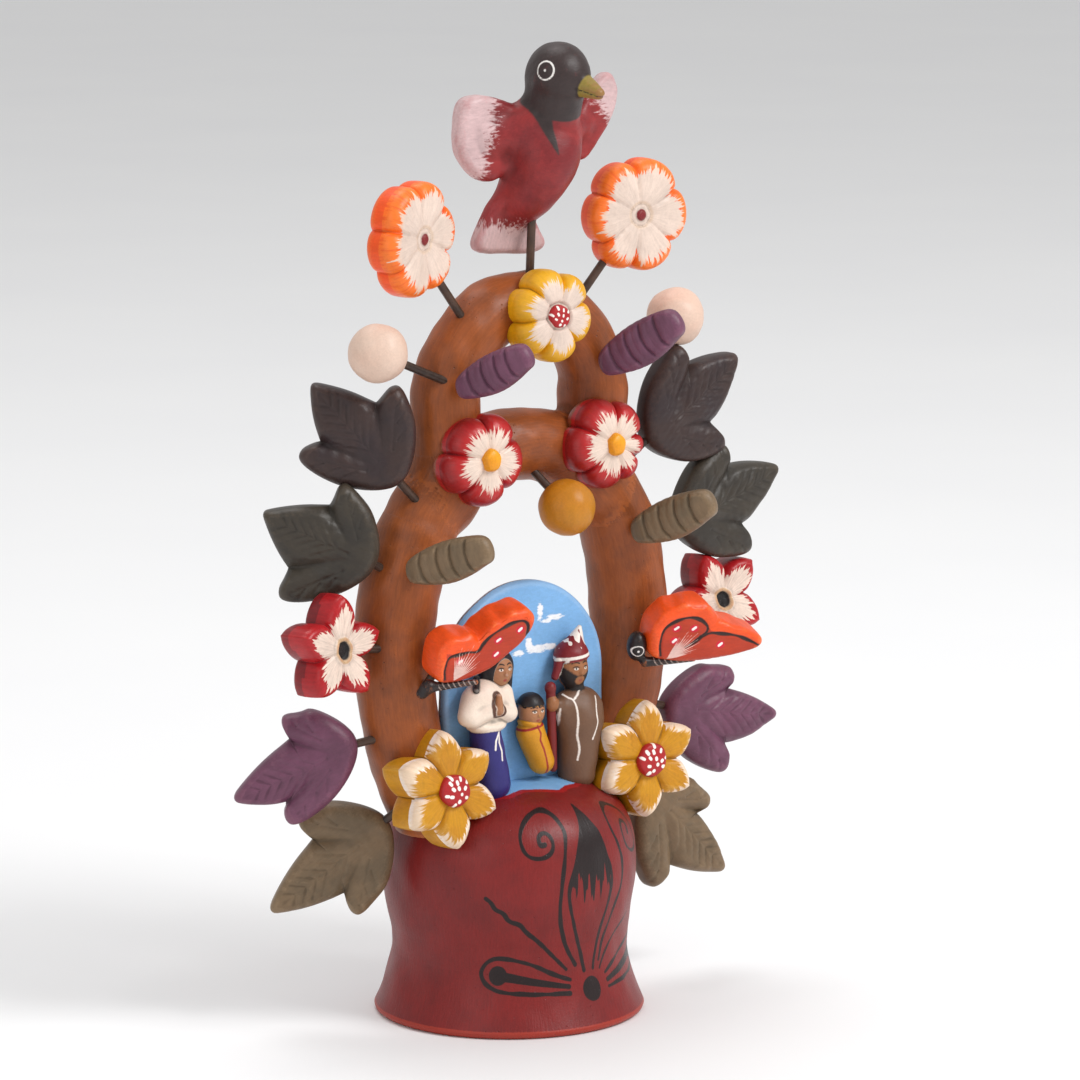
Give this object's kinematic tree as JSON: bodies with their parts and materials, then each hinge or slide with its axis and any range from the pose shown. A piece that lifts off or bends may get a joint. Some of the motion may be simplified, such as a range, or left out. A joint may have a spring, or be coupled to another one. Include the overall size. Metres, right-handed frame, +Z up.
{
  "type": "clay tree of life",
  "caption": "Free-standing folk clay tree of life: a hollow bell base, two stacked arches, an arched nativity panel, and flowers, leaves, butterflies and a bird on short wires.",
  "frame": {"origin": "centre of the bell base's flat underside", "axes": "+Z up, -Y the front that the figures and pressed flowers face, +X to the right as seen from the front"},
  "size_m": [0.1875, 0.0824, 0.2898],
  "materials": {
    "base_red": "hand-painted fired clay, satin",
    "terracotta": "bare terracotta with a thin brown wash, satin",
    "panel_sky": "hand-painted fired clay, satin",
    "woman_cream": "hand-painted fired clay, satin",
    "man_brown": "hand-painted fired clay, satin",
    "baby_mustard": "hand-painted fired clay, satin",
    "bird_red": "hand-painted fired clay, satin",
    "flower_orange": "hand-painted fired clay, satin",
    "flower_yellow": "hand-painted fired clay, satin",
    "centre_red": "hand-painted fired clay, satin",
    "flower_red": "hand-painted fired clay, satin",
    "centre_yellow": "hand-painted fired clay, satin",
    "flower_mustard": "hand-painted fired clay, satin",
    "ball_cream": "hand-painted fired clay, satin",
    "ball_mustard": "hand-painted fired clay, satin",
    "leaf_purple": "hand-painted fired clay, satin",
    "leaf_olive": "hand-painted fired clay, satin",
    "leaf_brown": "hand-painted fired clay, satin",
    "leaf_green": "hand-painted fired clay, satin",
    "butterfly_orange": "hand-painted fired clay, satin",
    "wire": "dark painted iron wire, slight gloss"
  },
  "bodies": {
    "root": {"base": "base_red", "lower_arch": "terracotta", "upper_arch": "terracotta", "scene_panel": "panel_sky", "woman": "woman_cream", "man": "man_brown", "baby": "baby_mustard", "bird": "bird_red", "orange_flower_left": "flower_orange", "orange_flower_right": "flower_orange", "yellow_flower_top": "flower_yellow", "yellow_flower_centres": "centre_red", "red_flower_left": "flower_red", "red_flower_right": "flower_red", "red_flower_centres": "centre_yellow", "red_star_left": "flower_red", "red_star_right": "flower_red", "yellow_star_left": "flower_mustard", "yellow_star_right": "flower_mustard", "pale_ball_left": "ball_cream", "pale_ball_right": "ball_cream", "mustard_ball": "ball_mustard", "small_purple_leaf_left": "leaf_purple", "small_purple_leaf_right": "leaf_purple", "small_olive_leaf_left": "leaf_olive", "small_olive_leaf_right": "leaf_olive", "brown_leaf_left": "leaf_brown", "brown_leaf_right": "leaf_brown", "green_leaf_left": "leaf_green", "green_leaf_right": "leaf_green", "purple_leaf_left": "leaf_purple", "purple_leaf_right": "leaf_purple", "olive_leaf_left": "leaf_olive", "olive_leaf_right": "leaf_olive", "butterfly_left": "butterfly_orange", "butterfly_right": "butterfly_orange", "wire_bird": "wire", "wire_orange_left": "wire", "wire_orange_right": "wire", "wire_ball_left": "wire", "wire_ball_right": "wire", "wire_mustard": "wire", "wire_small_purple_left": "wire", "wire_small_purple_right": "wire", "wire_small_olive_left": "wire", "wire_small_olive_right": "wire", "wire_brown_left": "wire", "wire_brown_right": "wire", "wire_green_left": "wire", "wire_green_right": "wire", "wire_purple_left": "wire", "wire_purple_right": "wire", "wire_olive_left": "wire", "wire_olive_right": "wire", "wire_star_left": "wire", "wire_star_right": "wire", "wire_butterfly_left": "wire", "wire_butterfly_right": "wire"}
  },
  "joints": []
}
